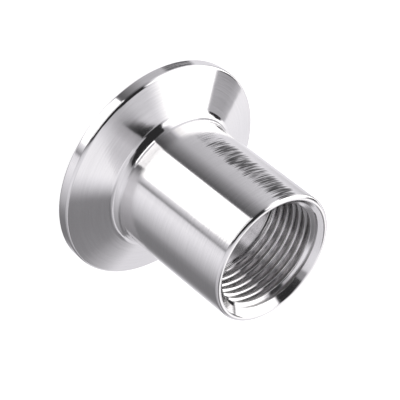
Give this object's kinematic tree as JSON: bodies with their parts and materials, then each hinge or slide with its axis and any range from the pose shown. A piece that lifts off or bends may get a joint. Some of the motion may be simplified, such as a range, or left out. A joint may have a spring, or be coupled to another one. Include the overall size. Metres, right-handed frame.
{
  "type": "sanitary clamp ferrule",
  "caption": "Stainless sanitary clamp ferrule: tapered clamp flange with a gasket groove, root fillet, and a plain barrel whose mouth takes a male pipe thread.",
  "frame": {"origin": "centre of the clamp sealing face, on the axis of the bore", "axes": "+Z along the axis, from the clamp sealing face to the threaded mouth; X and Y are equal, the part is round"},
  "size_m": [0.0506, 0.0506, 0.039],
  "materials": {
    "stainless": "bright turned and polished, fine circumferential tool marks"
  },
  "bodies": {
    "root": {"ferrule": "stainless"}
  },
  "joints": []
}
